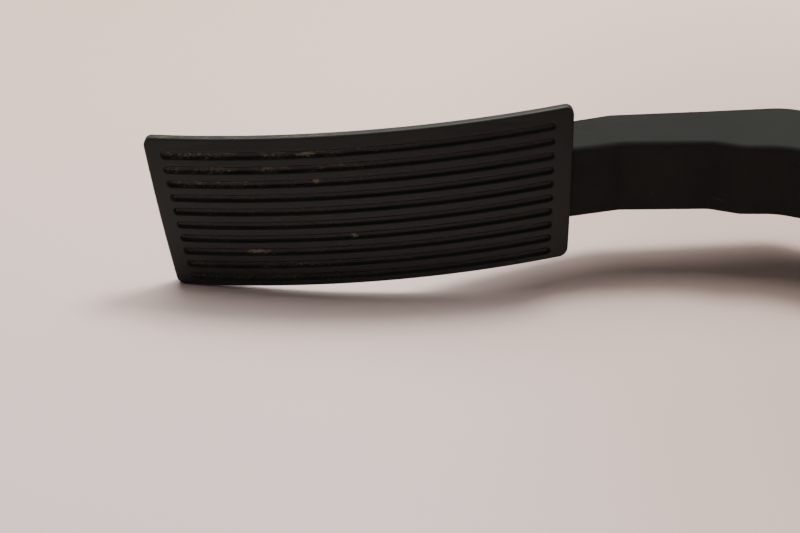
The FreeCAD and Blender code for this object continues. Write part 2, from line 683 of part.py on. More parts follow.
def housing():
    """The main shell. It is open at the cover's side below the deck and at the top above it."""
    bottom = "-floor_drop + cover_thick + gasket_thick"
    lower = slab("shell_lower", "XY_Plane", lower_outline(), bottom, "deck_high", "4", (0, 1, 2, 3))
    upper = slab("shell_upper", "XY_Plane", upper_outline(), "deck_low", "shell_top", "5", (0, 1, 2))
    socket = box("socket_block", ("shell_half - 3", "shell_half + socket_out"),
                 ("-socket_front", "-socket_back"), ("socket_low", "socket_high"))
    ribs = []
    for i in range(int(value("deck_rib_count"))):
        x = f"waist_x + 14 + {i} * 12"
        ribs.append(box(f"deck_rib_{i}", (x, f"{x} + 2"), ("-shell_front + 12", "-waist_y + 1"),
                        ("deck_low - 12", "deck_low + 1")))
    mass = join("shell_mass", lower, upper, socket, *flange(), *ribs)
    hub_room = rod("hub_room", "Z", "hub_cavity_r", f"{bottom} - 1", "deck_low", (PIVOT_X, PIVOT_Y))
    slot = slab("slot", "XY_Plane", slot_outline(), f"{bottom} - 1", "slot_top")
    bay = box("lever_bay", ("-lever_bay_left", "-lever_bay_right"), ("-pivot_drop_y", "-lever_bay_back"),
              (f"{bottom} - 1", "lever_bay_top"))
    bore = rod("spring_bore", "X", "spring_bore_r", "-bore_left", "shell_half + 5", ("-spring_axis", "0"))
    chamber = box("chamber", ("-chamber_left", "chamber_right"), ("-chamber_front", "-chamber_back"),
                  ("deck_high", "shell_top + 5"))
    pins = [box(f"pin_way_{i}", ("chamber_right - 1", "shell_half + 1"), *pin_section(i, "fit_gap"))
            for i in range(int(value("pin_count")))]
    mouth = box("socket_mouth", ("shell_half", "shell_half + socket_out + 1"),
                ("-socket_front + socket_wall", "-socket_back - socket_wall"),
                ("socket_low + socket_wall", "socket_high - socket_wall"))
    bush_hole = rod("bush_hole", "Z", "shaft_r + running_gap + bush_wall", "0", "deck_high + 1",
                    (PIVOT_X, PIVOT_Y))
    sleeves = [rod(f"sleeve_hole_{i}", "Y", "sleeve_r", "-flange_thick - 1", "1", spot)
               for i, spot in enumerate(ears())]
    idle = idle_bumper_block("idle_seat", "-shell_front + shell_wall + 1", "0")
    stop = full_stop_block("stop_seat", "0")
    lid_seat = slab("lid_seat", "XY_Plane", upper_outline("lid_inset"), "shell_top - lid_rim",
                    "shell_top + 5")
    hollow = cut("shell_hollow", mass, hub_room, slot, bay, bore, chamber, *pins, mouth, bush_hole,
                 *sleeves, idle, stop, lid_seat, *face_cores(), *inner_wells())
    posts = [screw_post(i, x, y) for i, (x, y) in enumerate(board_screw_spots())]
    return join("shell_done", hollow, *posts)


def inner_wells():
    """Pockets that keep the shell's walls thin, and the blind holes for the cover's screws."""
    bottom = "-floor_drop + cover_thick + gasket_thick"
    wells = [
        box("well_right", ("lever_bay_right + 2", "shell_half - 8"),
            ("-waist_y + shell_wall", "-flange_thick"), (f"{bottom} - 1", "-spring_bore_r - 2.2")),
    ]
    holes = [rod(f"cover_screw_hole_{i}", "Z", "screw_r", f"{bottom} - 1", f"{bottom} + 12", spot)
             for i, spot in enumerate(cover_screw_spots())]
    holes += [rod(f"lid_screw_hole_{i}", "Z", "screw_r", "shell_top - 12", "shell_top + 1", spot)
              for i, spot in enumerate(lid_screw_spots())]
    return wells + holes


def cover_screw_spots():
    return [("-shell_half + 5", "-5"), ("shell_half - 5", "-4"), ("shell_half - 3.5", "-waist_y + 3.4"),
            ("waist_x - 3", "-shell_front + 5")]


def lid_screw_spots():
    return [("-shell_half + 5", "-7"), ("shell_half - 4.2", "-7"), ("-shell_half + 5", "-shell_front + 4.6"),
            ("shell_half - 14", "-shell_front + 4.6")]


def board_screw_spots():
    return [("-board_left + 3.5", "-board_back - 3.5"), ("board_right - 3.5", "-board_back - 3.5"),
            ("board_right - 3.5", "-board_front + 3.5"), ("-board_left + 3.5", "-board_front + 3.5")]


def screw_post(i, x, y):
    return tube(f"board_post_{i}", "Z", "3", "screw_r", "deck_high - 0.5", "board_low", (x, y))


def side_cover():
    """The plate that closes the hub's side, with the boss of the lower bush, a lip that fills the
    arm's slot beside the arm, and a blind hole under the shaft."""
    low, high = "-floor_drop", "-floor_drop + cover_thick"
    plate = slab("cover_plate", "XY_Plane", lower_outline(), low, high, "4", (0, 1, 2, 3))
    boss = rod("cover_boss", "Z", "bush_flange_r + 3", f"{high} - 1",
               "-hub_half - hub_end_gap - bush_flange", (PIVOT_X, PIVOT_Y))
    lip = box("cover_lip", ("-shell_half", "-shell_half + 2.4"),
              ("-shell_front + shell_wall + 0.3", "-slot_back - 1.5"), (f"{high} - 1", "-arm_width / 2 - 2"))
    whole = join("cover_blank", plate, boss, lip)
    bush_hole = rod("lower_bush_hole", "Z", "shaft_r + running_gap + bush_wall",
                    "-hub_half - hub_end_gap - bush_long", "0", (PIVOT_X, PIVOT_Y))
    shaft_hole = rod("shaft_hole", "Z", "shaft_r + 0.6", "-shaft_low - 1", "0", (PIVOT_X, PIVOT_Y))
    tools = [bush_hole, shaft_hole]
    for i, spot in enumerate(cover_screw_spots()):
        tools.append(rod(f"cover_hole_{i}", "Z", "screw_r + 0.4", f"{low} - 1", f"{high} + 1", spot))
        tools.append(rod(f"cover_sink_{i}", "Z", "screw_head_r + 0.4", f"{low} - 1",
                         f"{low} + screw_head + 0.4", spot))
    return cut("cover_cut", whole, *tools)


def cover_gasket():
    """A flat seal between the side cover and the shell's rim."""
    low, high = "-floor_drop + cover_thick", "-floor_drop + cover_thick + gasket_thick"
    sheet_ = slab("gasket_sheet", "XY_Plane", lower_outline("-0.2"), low, high, "4", (0, 1, 2, 3))
    window = slab("gasket_window", "XY_Plane", gasket_window(), f"{low} - 1", f"{high} + 1")
    tools = [window]
    for i, spot in enumerate(cover_screw_spots()):
        tools.append(rod(f"gasket_hole_{i}", "Z", "screw_r + 0.5", f"{low} - 1", f"{high} + 1", spot))
    return cut("gasket_cut", sheet_, *tools)


def gasket_window():
    return [
        ("-shell_half - 2", "-shell_front + shell_wall"),
        ("waist_x - 2.4", "-shell_front + shell_wall + 6"),
        ("waist_x - 2.4", "-waist_y - 1"),
        ("lever_bay_right + 2", "-waist_y + 3"),
        ("shell_half - 8", "-waist_y + 3"),
        ("shell_half - 8", "-lever_bay_back"),
        ("-shell_half + 10", "-lever_bay_back"),
        ("-shell_half - 2", "-slot_back"),
    ]


def screws(name, spots, head_z, long, up):
    """Pan-head screws. up is 1 if the head is on top of the shank, and -1 if it is below it."""
    made = []
    for i, spot in enumerate(spots):
        ends = (f"{head_z} - {long}", head_z) if up > 0 else (head_z, f"{head_z} + {long}")
        head = (head_z, f"{head_z} + screw_head") if up > 0 else (f"{head_z} - screw_head", head_z)
        shank = rod(f"{name}_shank_{i}", "Z", "screw_r - 0.05", *ends, spot)
        cap = rod(f"{name}_head_{i}", "Z", "screw_head_r", *head, spot)
        slot_low = f"{head_z} + screw_head - 0.7" if up > 0 else f"{head_z} - screw_head - 0.1"
        slots = []
        for axis in "xy":
            half = {"x": ("1.6", "0.35"), "y": ("0.35", "1.6")}[axis]
            slots.append(box(f"{name}_slot_{axis}{i}", (f"{spot[0]} - {half[0]}", f"{spot[0]} + {half[0]}"),
                             (f"{spot[1]} - {half[1]}", f"{spot[1]} + {half[1]}"),
                             (slot_low, f"{slot_low} + 0.8")))
        made.append(cut(f"{name}_{i}", join(f"{name}_blank_{i}", shank, cap), *slots))
    return gather(name, *made)


def mounting_sleeves():
    """Steel compression sleeves in the ears, a little proud of the flange on the bolt's side."""
    made = [tube(f"sleeve_{i}", "Y", "sleeve_r - fit_gap", "sleeve_hole_r", "-flange_thick - sleeve_proud",
                 "0", spot)
            for i, spot in enumerate(ears())]
    return gather("sleeves", *made)


# ---------------------------------------------------------------- stops

def idle_bumper_block(name, front, gap):
    """The block of the idle stop, from its seat in the front wall out to front, smaller by gap all round."""
    half_wide, half_high = f"(bumper_wide / 2 - ({gap}))", f"(bumper_high / 2 - ({gap}))"
    return box(name, (f"-idle_bumper_x - {half_wide}", f"-idle_bumper_x + {half_wide}"),
               (f"-shell_front + 1 + ({gap})", front), (f"-{half_high}", half_high))


def idle_bumper():
    """Rubber stop that the arm's front rests on with the pedal up: a block in the front wall, cut back
    to the line of the arm's front, with lever_gap between them."""
    block = idle_bumper_block("idle_block", "-shell_front + shell_wall + 4", "fit_gap")
    arm_room = doc.addObject("Part::Box", "idle_face")
    bind(arm_room, Length="upper_length", Width="hub_r", Height="2 * hub_r",
         Placement__Rotation__Yaw="upper_lean")
    away = "(hub_r + lever_gap)"
    place(arm_room, f"{PIVOT_X} + {away} * sin(upper_lean) - upper_length * cos(upper_lean)",
          f"{PIVOT_Y} - {away} * cos(upper_lean) - upper_length * sin(upper_lean)", "-hub_r")
    return cut("idle_cut", block, arm_room)


def full_stop_block(name, gap):
    """The block of the full travel stop, smaller by gap all round. It is turned to be square to the
    arm's back at full travel."""
    block = doc.addObject("Part::Box", name)
    bind(block, Length=f"stop_far - stop_near - 2 * ({gap})", Width=f"stop_thick - ({gap})",
         Height=f"bumper_high - 2 * ({gap})", Placement__Rotation__Yaw="-full_travel")
    back = "(hub_r + stop_gap)"
    x = f"(-stop_far + ({gap}))"
    place(block, f"{PIVOT_X} + {x} * cos(full_travel) + {back} * sin(full_travel)",
          f"{PIVOT_Y} - {x} * sin(full_travel) + {back} * cos(full_travel)",
          f"-bumper_high / 2 + ({gap})")
    return block


# ---------------------------------------------------------------- plunger and springs

PLUNGER_REST = "-plunger_left"


def lever_touch():
    """The x of the lever nose's furthest point at rest."""
    return f"(-pivot_drop_x - lever_r * sin(lever_lean) + lever_nose_r)"


def friction_plunger():
    """The slider: a stem that the lever pushes, and a cup for the springs."""
    axis = ("-spring_axis", "0")
    stem = rod("plunger_stem", "X", "stem_r", f"{lever_touch()} + lever_gap", f"{PLUNGER_REST} + 1", axis)
    cup = rod("plunger_cup", "X", "plunger_r", PLUNGER_REST, f"{PLUNGER_REST} + plunger_long", axis)
    hollow = rod("plunger_hollow", "X", "plunger_r - plunger_wall", f"{PLUNGER_REST} + 4",
                 f"{PLUNGER_REST} + plunger_long + 1", axis)
    ways = shoe_blocks("shoe_way", "fit_gap")
    return cut("plunger_cut", join("plunger_blank", stem, cup), hollow, *ways)


def shoe_blocks(name, grow):
    """The two friction shoes' blocks, above and below the plunger."""
    made = []
    for i, side in enumerate((-1, 1)):
        near, far = "spring_bore_r - 2", "spring_bore_r - shoe_gap"
        low, high = (near, far) if side > 0 else (f"-({far})", f"-({near})")
        made.append(box(f"{name}_{i}",
                        (f"{PLUNGER_REST} + 3 - {grow}", f"{PLUNGER_REST} + 3 + shoe_long + {grow}"),
                        (f"-spring_axis - shoe_wide / 2 - {grow}", f"-spring_axis + shoe_wide / 2 + {grow}"),
                        (f"{low} - {grow}", f"{high} + {grow}")))
    return made


def coil(name, coil_r, wire_r, turns, low, high):
    """A round-wire compression spring along the bore, with closed ends: wire swept along a helix."""
    axis_y, radius, wire = -value("spring_axis"), number(coil_r), number(wire_r)
    start, end = number(low) + wire + 0.1, number(high) - wire
    helix = Part.makeHelix((end - start) / value(turns), end - start, radius)
    spine = Part.Wire(helix.Edges)
    section = Part.Wire(Part.makeCircle(wire, FreeCAD.Vector(radius, 0, 0), FreeCAD.Vector(0, 1, 0)))
    made = doc.addObject("Part::Feature", name)
    made.Shape = spine.makePipeShell([section], True, True)
    made.Placement = FreeCAD.Placement(FreeCAD.Vector(start, axis_y, 0), AXIS_TURNS["X"])
    return made


def spring_cap():
    """The plug that closes the spring bore and carries the springs' fixed ends."""
    axis = ("-spring_axis", "0")
    plug = rod("cap_plug", "X", "spring_bore_r - fit_gap", "spring_right", "shell_half", axis)
    head = rod("cap_head", "X", "spring_bore_r + 2.4", "shell_half", "shell_half + cap_thick", axis)
    recess = rod("cap_recess", "X", "spring_bore_r - 4", "shell_half - 2", "shell_half + cap_thick + 1", axis)
    grip = box("cap_grip", ("shell_half - 2.5", "shell_half + cap_thick"),
               ("-spring_axis - 1.2", "-spring_axis + 1.2"), ("-spring_bore_r + 2", "spring_bore_r - 2"))
    return join("cap_done", cut("cap_cut", join("cap_blank", plug, head), recess), grip)


def spring_seat():
    """A dished steel washer in the plunger that centres the two springs."""
    axis = ("-spring_axis", "0")
    low = f"{PLUNGER_REST} + 4"
    disc = rod("seat_disc", "X", "plunger_r - plunger_wall - 0.1", f"{low} + fit_gap", "spring_left", axis)
    hub = rod("seat_hub", "X", "inner_coil_r - inner_wire_r - 0.5", "spring_left - 0.5", "spring_left + 3",
              axis)
    return join("seat_done", disc, hub)


# ---------------------------------------------------------------- angle sensor

def magnet_carrier():
    """A cup pressed over the shaft's end, which carries the sensor's magnet."""
    blank = rod("carrier_blank", "Z", "carrier_r", "carrier_low", "carrier_top", (PIVOT_X, PIVOT_Y))
    shaft_way = rod("carrier_bore", "Z", "shaft_r", "carrier_low - 1", "shaft_top", (PIVOT_X, PIVOT_Y))
    magnet_way = rod("magnet_way", "Z", "magnet_r", "carrier_top - magnet_thick", "carrier_top + 1",
                     (PIVOT_X, PIVOT_Y))
    return cut("carrier_cut", blank, shaft_way, magnet_way)


def sensor_magnet():
    disc = rod("magnet_disc", "Z", "magnet_r - fit_gap", "carrier_top - magnet_thick", "carrier_top",
               (PIVOT_X, PIVOT_Y))
    notch = box("magnet_notch", (f"{PIVOT_X} - 0.4", f"{PIVOT_X} + 0.4"),
                (f"{PIVOT_Y} - 8", f"{PIVOT_Y} + 8"), ("carrier_top - 0.3", "carrier_top + 1"))
    return cut("magnet_cut", disc, notch)


def pin_section(i, grow="0"):
    """The spans in y and z of one of the connector's pins."""
    middle = f"(-(socket_front + socket_back) / 2 + ({i} - (pin_count - 1) / 2) * pin_pitch)"
    return ((f"{middle} - pin_wide / 2 - {grow}", f"{middle} + pin_wide / 2 + {grow}"),
            (f"pin_z - pin_thick / 2 - {grow}", f"pin_z + pin_thick / 2 + {grow}"))


def sensor_board():
    """The circuit board on its four posts, with holes for the screws and the connector's pins."""
    board = box("board_blank", ("-board_left", "board_right"), ("-board_front", "-board_back"),
                ("board_low", "board_low + board_thick"))
    tools = [rod(f"board_hole_{i}", "Z", "screw_r + 0.2", "board_low - 1", "board_low + 5", spot)
             for i, spot in enumerate(board_screw_spots())]
    for i in range(int(value("pin_count"))):
        span = pin_section(i, "0.1")[0]
        tools.append(box(f"board_slot_{i}", ("pin_left - 0.1", "pin_left + pin_thick + 0.1"), span,
                         ("board_low - 1", "board_low + 5")))
    return cut("board_cut", board, *tools)


def hall_sensors():
    """Two redundant Hall chips under the board, over the magnet."""
    chips = []
    for i, side in enumerate((-1, 1)):
        y = f"({PIVOT_Y} + {side} * (chip_wide / 2 + 0.3))"
        chips.append(box(f"chip_{i}", (f"{PIVOT_X} - chip_long / 2", f"{PIVOT_X} + chip_long / 2"),
                         (f"{y} - chip_wide / 2", f"{y} + chip_wide / 2"),
                         ("board_low - chip_thick", "board_low")))
    return gather("chips", *chips)


def board_capacitors():
    """Small filter capacitors on the board's upper face, one row beside the pins."""
    top = "board_low + board_thick"
    made = []
    for i in range(int(value("pin_count"))):
        y = pin_section(i)[0]
        made.append(box(f"capacitor_{i}", ("pin_left - 6", "pin_left - 3.6"), y, (top, f"{top} + 0.9")))
    return gather("capacitors", *made)


def connector_terminals():
    """Six tinned blades from the board, through the chamber's wall, into the socket."""
    blades = []
    for i in range(int(value("pin_count"))):
        y, z = pin_section(i)
        blade = box(f"blade_{i}", ("pin_left", "shell_half + pin_out"), y, z)
        leg = box(f"leg_{i}", ("pin_left", "pin_left + pin_thick"), y,
                  ("pin_z", "board_low + board_thick + 0.8"))
        blades.append(join(f"terminal_{i}", blade, leg))
    return gather("terminals", *blades)


def connector_seal():
    """A rubber frame seal round the mouth of the socket."""
    x = ("shell_half + socket_out - 8", "shell_half + socket_out - 5")
    y = ("-socket_front - 0.8", "-socket_back + 0.8")
    z = ("socket_low - 0.8", "socket_high + 0.8")
    ring = box("seal_outside", x, y, z)
    hole = box("seal_inside", ("shell_half", "shell_half + 40"),
               ("-socket_front - fit_gap", "-socket_back + fit_gap"),
               ("socket_low - fit_gap", "socket_high + fit_gap"))
    return cut("seal_cut", ring, hole)


def sensor_cover():
    """The lid of the sensor chamber, with a rim that drops into the shell."""
    lid = slab("lid_plate", "XY_Plane", upper_outline("lid_inset + 0.15"), "shell_top - lid_rim + lid_seal",
               "lid_top", "4", (0, 1, 2))
    tools = []
    for i, spot in enumerate(lid_screw_spots()):
        tools.append(rod(f"lid_hole_{i}", "Z", "screw_r + 0.4", "shell_top - 5", "lid_top + 1", spot))
        tools.append(rod(f"lid_sink_{i}", "Z", "screw_head_r + 0.6", "lid_top - screw_head", "lid_top + 1",
                         spot))
    relief = slab("lid_relief", "XY_Plane", upper_outline("lid_inset + 12"), "lid_top - 0.8", "lid_top + 1",
                  "4", (0, 1, 2, 3, 4))
    room = box("lid_room", ("-chamber_left", "chamber_right"), ("-chamber_front", "-chamber_back"),
               ("shell_top - 5", "shell_top + lid_seal"))
    return cut("lid_cut", lid, room, relief, *tools)


def sensor_cover_seal():
    """The seal that lies in the shell's step, under the lid's rim."""
    low, high = "shell_top - lid_rim", "shell_top - lid_rim + lid_seal"
    plate = slab("lid_seal_plate", "XY_Plane", upper_outline("lid_inset + 0.3"), low, high)
    room = box("lid_seal_room", ("-chamber_left - 0.5", "chamber_right + 0.5"),
               ("-chamber_front - 0.5", "-chamber_back + 0.5"), (f"{low} - 1", f"{high} + 1"))
    tools = [rod(f"lid_seal_hole_{i}", "Z", "screw_r + 0.5", f"{low} - 1", f"{high} + 1", spot)
             for i, spot in enumerate(lid_screw_spots())]
    return cut("lid_seal_cut", plate, room, *tools)


# ---------------------------------------------------------------- assembly

NODES = []


def node(obj, label):
    """Makes an object a sub-part: its label names its file."""
    obj.Label = label
    NODES.append(obj)


def check_and_write():
    doc.recompute()
    for obj in doc.Objects:
        if "Invalid" in obj.State or "Error" in obj.State:
            raise ValueError(f"{obj.Label} failed: {obj.State}")
    os.makedirs("parts", exist_ok=True)
    for obj in NODES:
        if obj.Shape.isNull() or not obj.Shape.isValid():
            raise ValueError(f"{obj.Label} has no valid shape")
        obj.Shape.exportStep(f"parts/{obj.Label}.step")
        print(f"{obj.Label}: {len(obj.Shape.Solids)} solid(s), {obj.Shape.Volume / 1000:.2f} cm3")


def build():
    fill_sheet()
    node(pad_to_row(pedal_pad()), "pedal_pad")
    node(pad_to_row(pad_clips()), "pad_clips")
    node(in_arm_frame(pedal_arm()), "pedal_arm")
    node(pivot_shaft(), "pivot_shaft")
    node(shaft_clip(), "shaft_clip")
    node(bush("bush_top", 1), "upper_bush")
    node(bush("bush_low", -1), "lower_bush")
    node(housing(), "housing")
    node(side_cover(), "side_cover")
    node(cover_gasket(), "cover_gasket")
    low = "(-floor_drop + screw_head + 0.4)"
    node(screws("cover_screw", cover_screw_spots(), low, "13", -1), "side_cover_screws")
    node(mounting_sleeves(), "mounting_sleeves")
    node(idle_bumper(), "idle_bumper")
    node(full_stop_block("stop_block", "fit_gap"), "full_travel_bumper")
    node(friction_plunger(), "friction_plunger")
    node(gather("shoes", *shoe_blocks("shoe", "0")), "friction_shoes")
    node(spring_seat(), "spring_seat")
    node(coil("outer_coil", "outer_coil_r", "outer_wire_r", "outer_turns", "spring_left", "spring_right"),
         "return_spring_outer")
    node(coil("inner_coil", "inner_coil_r", "inner_wire_r", "inner_turns", "spring_left", "spring_right"),
         "return_spring_inner")
    node(spring_cap(), "spring_cap")
    node(magnet_carrier(), "magnet_carrier")
    node(sensor_magnet(), "sensor_magnet")
    node(sensor_board(), "sensor_board")
    node(hall_sensors(), "hall_sensors")
    node(board_capacitors(), "board_capacitors")
    node(screws("board_screw", board_screw_spots(), "board_low + board_thick", "8", 1), "board_screws")
    node(connector_terminals(), "connector_terminals")
    node(connector_seal(), "connector_seal")
    node(sensor_cover(), "sensor_cover")
    node(sensor_cover_seal(), "sensor_cover_seal")
    node(screws("lid_screw", lid_screw_spots(), "lid_top - screw_head", "13", 1), "sensor_cover_screws")


build()
check_and_write()
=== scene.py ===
import bmesh
import bpy
import json
import math
from mathutils import Euler, Matrix, Vector


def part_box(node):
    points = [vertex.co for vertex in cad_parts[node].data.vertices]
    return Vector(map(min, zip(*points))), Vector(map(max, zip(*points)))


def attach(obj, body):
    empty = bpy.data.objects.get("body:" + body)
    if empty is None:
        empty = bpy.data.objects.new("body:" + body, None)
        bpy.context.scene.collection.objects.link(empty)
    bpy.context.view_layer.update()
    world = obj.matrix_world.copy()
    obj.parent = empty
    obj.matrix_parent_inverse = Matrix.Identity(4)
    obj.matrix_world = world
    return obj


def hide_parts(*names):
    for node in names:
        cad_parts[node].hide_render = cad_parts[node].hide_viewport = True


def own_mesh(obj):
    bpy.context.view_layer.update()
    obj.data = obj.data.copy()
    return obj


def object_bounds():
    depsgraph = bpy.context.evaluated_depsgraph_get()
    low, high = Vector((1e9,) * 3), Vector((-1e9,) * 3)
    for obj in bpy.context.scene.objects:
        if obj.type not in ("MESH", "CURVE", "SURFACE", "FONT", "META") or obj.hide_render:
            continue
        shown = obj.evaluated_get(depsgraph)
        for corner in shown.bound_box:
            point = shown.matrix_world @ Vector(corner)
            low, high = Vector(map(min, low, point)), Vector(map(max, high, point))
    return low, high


# The looks of an accelerator pedal module that lies on its side on a pale sheet. Metres, in the
# CAD model's frame: +Z is up, the bulkhead face is y = 0, and the pad is at the -X, -Y end.

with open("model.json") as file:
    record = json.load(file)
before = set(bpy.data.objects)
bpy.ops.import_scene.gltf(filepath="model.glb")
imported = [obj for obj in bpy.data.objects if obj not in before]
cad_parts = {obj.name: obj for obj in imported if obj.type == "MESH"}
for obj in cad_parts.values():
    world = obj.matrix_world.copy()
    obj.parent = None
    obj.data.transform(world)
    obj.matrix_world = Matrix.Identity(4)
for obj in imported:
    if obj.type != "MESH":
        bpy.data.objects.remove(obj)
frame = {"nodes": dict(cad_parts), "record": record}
cad_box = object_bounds()
FLOOR = cad_box[0][2]

MM = 0.001

# the pad's own frame: its crest, and the turns that lay X along the pad, Y into it and Z across it
PAD_CREST = Vector((-179.43, -135.66, -3.5)) * MM
PAD_TURN = math.radians(32)
PAD_TILT = math.radians(-4.5)

# the pad's sizes in its own frame, in millimetres, as the CAD model has them. The grooves' borders are
# along the pad, where the CAD model has 4.5 and 5.2 square to its raked ends.
PAD_LENGTH, PAD_WIDTH, PAD_THICK = 118.4, 45.3, 3.0
PAD_BOW_R, PAD_CROWN_R = 186.6, 163.5
TIP_SLOPE, ROOT_SLOPE = math.tan(math.radians(6.3)), math.tan(math.radians(5.1))
CORNER_R, RIM_R = 2.6, 0.6
GROOVE_COUNT, GROOVE_PITCH, GROOVE_SHIFT = 10, 4.16, 1.02
GROOVE_WIDE, GROOVE_FLOOR, GROOVE_DEEP = 2.3, 1.1, 1.2
GROOVE_TIP_BORDER, GROOVE_ROOT_BORDER = 4.53, 5.22
STUD_R, STUD_ALONG, STUD_SHIFT, STUD_ACROSS, STUD_LONG = 2.0, 44, 2, 15.4, 4.7

# what only the visual pad has, in millimetres: soft lips on the grooves, a rolled rim with a ring on
# the face inside it, and rings down the edge, as how far in from the outline and under the face
LIP_R = 0.14
RIM_STEPS, FACE_RING = 5, RIM_R + 0.35
EDGE_RINGS = ((0, 1.0), (0, 2.4), (0, 2.72), (0.08, 2.92), (0.28, PAD_THICK), (0.6, PAD_THICK))

# the studs' sides, how deep their feet are sunk in the plate, and the rings that round their tips,
# as how much narrower and how far below the tip
STUD_SIDES, STUD_SINK = 28, 0.3
STUD_TIP = ((0, 0.6), (0.12, 0.25), (0.45, 0))

# the pad's mesh, in millimetres: how far its grid stays inside the ends and the two long sides, the
# least gap between two lines, the lines beside a groove's middle and round its ends, and the lines
# along the pad, which start at a share of its length
END_INSET, LOW_INSET, HIGH_INSET, LEAST_GAP = 3.2, 1.45, 3, 0.1
SIDE_STEPS = (0.3, 0.42, 0.54, 0.66, 0.78, 0.9, 1.02, 1.14, 1.26, 1.34, 1.65)
END_STEPS = (-0.3, -0.15, 0, 0.15, 0.3, 0.45, 0.6, 0.75, 0.95, 1.2, 1.6, 2.4)
LONG_STEPS, LONG_START, CORNER_STEPS = 44, 0.045, 8

# the springs' mesh: steps in a turn, sides of the wire, and closed turns at each end
TURN_STEPS, WIRE_SIDES, DEAD_TURNS = 40, 14, 1.0

# the dust on the pad: how its share goes over the grooves' numbers, along the pad and past the
# grooves' tip ends, each as two places and the shares there
TOP_ROWS, BOTTOM_ROWS, ALONG_PAD = (5.6, 8.4, 0.16, 1), (1.6, 2.6, 0.42, 0), (-24, 22, 1, 0.06)
DUST_TIP = -PAD_LENGTH / 2 + GROOVE_TIP_BORDER + 0.4
TIP_DUST = (DUST_TIP, DUST_TIP + 1.4, 1, 0)

# loose grains in the grooves: the place along and across the pad, and the half sizes
GRAINS = ((-3.3, -7.5, 1.1, 0.9), (-12.7, 9.5, 1.2, 0.8), (-31.5, -11.5, 4, 0.8),
          (-15, 17.4, 3.4, 0.7))

# the pad's grey levels and green cast, and the dust's colours
PAD_DARK, PAD_PALE, PAD_GREEN = 0.0090, 0.0122, 0.28
DUST_FILM, DUST_SPECK = (0.062, 0.055, 0.040, 1), (0.21, 0.18, 0.13, 1)
DUST_GRAIN = (0.12, 0.105, 0.075, 1)

# the radius that moulded plastic's edges seem to have
SOFT_EDGE = 0.45 * MM

# moulded plastics: grey level, green cast, grain in millimetres, roughness, sheen and scuffs
PLASTICS = {
    "arm_plastic": (0.0175, 0.1, 0.5, 0.62, 0.04, 0.5),
    "housing_plastic": (0.018, 0.06, 0.4, 0.5, 0.3, 0.3),
    "cover_plastic": (0.024, 0.04, 0.55, 0.42, 0.4, 0.3),
    "slider_plastic": (0.55, -0.08, 0.5, 0.45, 0.4, 0),
    "shoe_plastic": (0.18, -0.4, 0.4, 0.5, 0.4, 0),
}

# metals: colour, roughness, grain in millimetres, and how far it is squeezed along each axis
METALS = {
    "ground_steel": ((0.56, 0.57, 0.58), 0.28, 0.3, (1, 1, 14)),
    "spring_steel": ((0.20, 0.20, 0.22), 0.36, 0.2, (1, 1, 1)),
    "zinc_steel": ((0.60, 0.61, 0.60), 0.34, 0.25, (1, 1, 1)),
    "bronze": ((0.46, 0.29, 0.12), 0.42, 0.12, (1, 1, 1)),
    "tinned_brass": ((0.66, 0.62, 0.50), 0.26, 0.2, (1, 6, 6)),
    "ferrite": ((0.10, 0.10, 0.11), 0.55, 0.1, (1, 1, 1)),
}
RUBBERS = {"black_rubber": (0.018, 0.018, 0.018), "green_seal": (0.03, 0.16, 0.11)}
CERAMICS = {"chip_black": (0.02, 0.02, 0.02), "ceramic_tan": (0.42, 0.27, 0.14)}
BOARD_GREEN, BOARD_TRACE = (0.012, 0.085, 0.035, 1), (0.03, 0.15, 0.06, 1)

# the view: where the camera and the lights look, the camera's turn, rise, distance and lens in
# millimetres of a 36 mm sensor, and the floor's directions away from the camera and to its right
VIEW_AIM = Vector((-170.86, -130.31, -20.4)) * MM
LIGHT_AIM = Vector((-0.15, -0.10, 0))
VIEW_TURN, VIEW_RISE = math.radians(32), math.radians(23.78)
VIEW_DISTANCE, LENS, SENSOR, NEAR_CLIP = 511.2 * MM, 80.7, 36, 0.01
BEHIND, BESIDE = Vector((-0.53, 0.848, 0)), Vector((0.848, 0.53, 0))

# lamps: how far behind, beside and above LIGHT_AIM they are and their size, in metres, their power
# in watts and their colour
LAMPS = {
    "lamp": ((0.35, 0.22, 0.85), 0.3, 8.5, (1.0, 0.94, 0.88)),
    "ceiling": ((0.6, 0, 1.3), 1.6, 29, (1.0, 0.95, 0.90)),
    "fill": ((-2.4, 0, 2.4), 2.5, 12, (1.0, 0.96, 0.92)),
}
ROOM_COLOR, ROOM_LIGHT = (0.80, 0.74, 0.70, 1), 0.13

# the sheet: its size and the gap under the object, its colours near the camera, far from it, in the
# painted shade round the arm's hub and in its faint stains, and the shift and stretch that place the
# painted shade
SHEET_SIZE, SHEET_GAP = 8, 0.2 * MM
SHEET_NEAR, SHEET_FAR = (0.81, 0.68, 0.685, 1), (0.87, 0.65, 0.52, 1)
SHEET_HUB_SHADE, SHEET_STAIN = (0.61, 0.465, 0.42, 1), (0.62, 0.53, 0.48, 1)
HUB_SHADE_PLACE, HUB_SHADE_STRETCH = (-0.352, 0, 0), (2.2, 1, 0)


# ---------------------------------------------------------------- node trees

